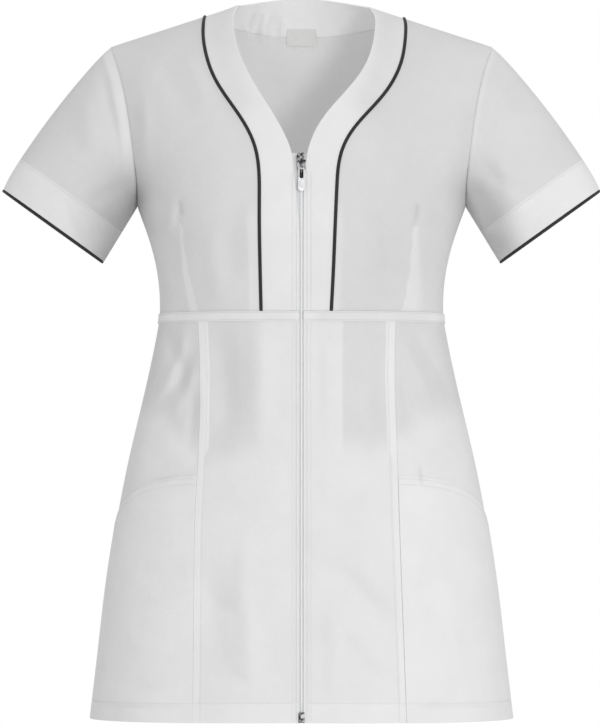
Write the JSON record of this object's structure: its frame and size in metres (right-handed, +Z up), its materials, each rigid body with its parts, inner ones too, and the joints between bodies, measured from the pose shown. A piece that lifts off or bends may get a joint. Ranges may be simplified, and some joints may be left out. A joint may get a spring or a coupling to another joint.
{
  "type": "zip-front work tunic with short sleeves",
  "caption": "White short-sleeved work tunic with a zip front, shaped neck band, black piping, waist seam, princess seams and slanted pockets, in its worn hollow form.",
  "frame": {"origin": "midway between the two shoulder seams, at their mid height, on the plane of the shoulder seams", "axes": "+Z up, -Y out of the zip front, +X towards the wearer's left sleeve"},
  "size_m": [0.628, 0.3164, 0.7611],
  "materials": {
    "cloth": "matt white polyester and cotton poplin",
    "piping": "black bias-bound cord",
    "label": "bare white satin tape",
    "zip_tape": "white woven zip tape with a nylon coil",
    "zip_metal": "nickel-plated die-cast zinc"
  },
  "bodies": {
    "tunic": {"bodice_back": "cloth", "bodice_front_left": "cloth", "bodice_front_right": "cloth", "neck_band_back": "cloth", "neck_band_front_left": "cloth", "neck_band_front_right": "cloth", "pocket_left": "cloth", "pocket_right": "cloth", "skirt_back": "cloth", "skirt_centre_left": "cloth", "skirt_centre_right": "cloth", "skirt_side_left": "cloth", "skirt_side_right": "cloth", "sleeve_facing_left": "cloth", "sleeve_facing_right": "cloth", "sleeve_left": "cloth", "sleeve_right": "cloth", "waist_strip_back": "cloth", "waist_strip_left": "cloth", "waist_strip_right": "cloth", "piping_front_left": "piping", "piping_front_right": "piping", "piping_sleeve_left": "piping", "piping_sleeve_right": "piping", "neck_label": "label", "zip_tape_left": "zip_tape", "zip_tape_right": "zip_tape", "zip_box": "zip_metal", "zip_slider": "zip_metal"},
    "pull_tab": {"zip_pull_tab": "zip_metal"}
  },
  "joints": [
    {"name": "pull_tab_hinge", "type": "hinge", "parent": "tunic", "child": "pull_tab", "pos_m": [0, -0.1166, -0.14683], "axis": [-1, 0, 0], "range_deg": [0, 150]}
  ]
}
